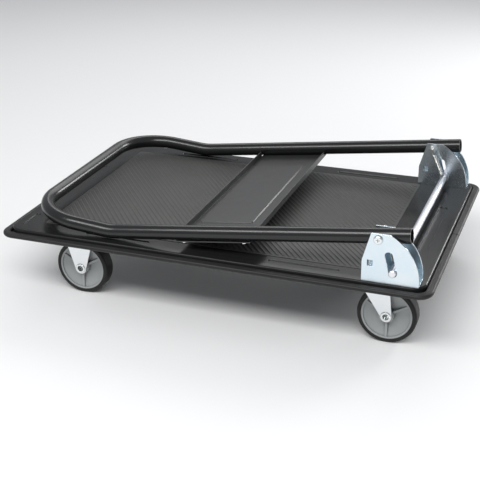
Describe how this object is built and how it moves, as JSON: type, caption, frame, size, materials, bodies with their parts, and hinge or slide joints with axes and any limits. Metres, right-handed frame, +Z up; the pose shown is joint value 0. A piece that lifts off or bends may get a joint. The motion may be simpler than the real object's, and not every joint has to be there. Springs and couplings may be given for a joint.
{
  "type": "folding platform cart",
  "caption": "Flat steel platform cart with edge bumper, fold-down tubular handle on hinge brackets with a sprung lock bar, fixed and swivel casters.",
  "frame": {"origin": "on the floor under the middle of the platform, centre of the bounding box's bottom face", "axes": "+X along the platform towards the handle hinges, +Y to the right of someone who stands at the hinge end and faces the platform, +Z up"},
  "size_m": [0.766, 0.506, 0.2216],
  "materials": {
    "black_powder_coat": "glossy black powder coat",
    "panel_coat": "satin dark grey powder coat",
    "mat": "matt dark grey ribbed vinyl",
    "bumper": "matt dark grey PVC",
    "zinc": "bright blue-white zinc plate",
    "bar_zinc": "bright zinc plate",
    "spring_steel": "zinc plated spring wire",
    "bearing_steel": "plain steel",
    "bush_nylon": "natural nylon",
    "wheel_plastic": "light grey polypropylene",
    "tyre": "dark grey non-marking rubber"
  },
  "bodies": {
    "platform": {"deck": "black_powder_coat", "deck_mat": "mat", "edge_bumper": "bumper", "fixed_end_channel": "black_powder_coat", "swivel_end_channel": "black_powder_coat", "left_bracket": "zinc", "right_bracket": "zinc", "bracket_screws": "zinc", "bracket_nuts": "zinc", "pivot_bolts": "zinc", "pivot_nuts": "zinc", "left_fixed_fork": "zinc", "right_fixed_fork": "zinc", "left_fixed_axle": "zinc", "right_fixed_axle": "zinc", "left_swivel_plate": "zinc", "right_swivel_plate": "zinc", "swivel_kingpins": "zinc", "swivel_balls": "bearing_steel", "caster_bolts": "zinc", "caster_nuts": "zinc", "left_lock_spring": "spring_steel", "right_lock_spring": "spring_steel"},
    "handle": {"handle_tube": "black_powder_coat", "handle_panel": "panel_coat", "panel_screws": "zinc", "pivot_bushes": "bush_nylon"},
    "lock": {"lock_bar": "bar_zinc"},
    "left_swivel": {"left_swivel_fork": "zinc", "left_swivel_axle": "zinc"},
    "right_swivel": {"right_swivel_fork": "zinc", "right_swivel_axle": "zinc"},
    "left_fixed_wheel": {"left_fixed_wheel_hub": "wheel_plastic", "left_fixed_wheel_tyre": "tyre", "left_fixed_wheel_sleeve": "bearing_steel"},
    "left_swivel_wheel": {"left_swivel_wheel_hub": "wheel_plastic", "left_swivel_wheel_tyre": "tyre", "left_swivel_wheel_sleeve": "bearing_steel"},
    "right_fixed_wheel": {"right_fixed_wheel_hub": "wheel_plastic", "right_fixed_wheel_tyre": "tyre", "right_fixed_wheel_sleeve": "bearing_steel"},
    "right_swivel_wheel": {"right_swivel_wheel_hub": "wheel_plastic", "right_swivel_wheel_tyre": "tyre", "right_swivel_wheel_sleeve": "bearing_steel"}
  },
  "joints": [
    {"name": "handle_fold", "type": "hinge", "parent": "platform", "child": "handle", "pos_m": [0.2937, 0, 0.203], "axis": [0, 1, 0], "range_deg": [0, 102.27]},
    {"name": "lock_slide", "type": "slide", "parent": "platform", "child": "lock", "axis": [-0.2568, 0, 0.9665], "range_m": [0, 0.02859], "deforming": ["left_lock_spring", "right_lock_spring"]},
    {"name": "left_caster_swivel", "type": "hinge", "parent": "platform", "child": "left_swivel", "pos_m": [0.268, -0.18, 0.1], "axis": [0, 0, 1], "continuous": true},
    {"name": "right_caster_swivel", "type": "hinge", "parent": "platform", "child": "right_swivel", "pos_m": [0.268, 0.18, 0.1], "axis": [0, 0, 1], "continuous": true},
    {"name": "left_fixed_wheel_spin", "type": "hinge", "parent": "platform", "child": "left_fixed_wheel", "pos_m": [-0.254, -0.18, 0.05], "axis": [0, 1, 0], "continuous": true},
    {"name": "left_swivel_wheel_spin", "type": "hinge", "parent": "left_swivel", "child": "left_swivel_wheel", "pos_m": [0.303, -0.18, 0.05], "axis": [0, 1, 0], "continuous": true},
    {"name": "right_fixed_wheel_spin", "type": "hinge", "parent": "platform", "child": "right_fixed_wheel", "pos_m": [-0.254, 0.18, 0.05], "axis": [0, 1, 0], "continuous": true},
    {"name": "right_swivel_wheel_spin", "type": "hinge", "parent": "right_swivel", "child": "right_swivel_wheel", "pos_m": [0.303, 0.18, 0.05], "axis": [0, 1, 0], "continuous": true}
  ]
}
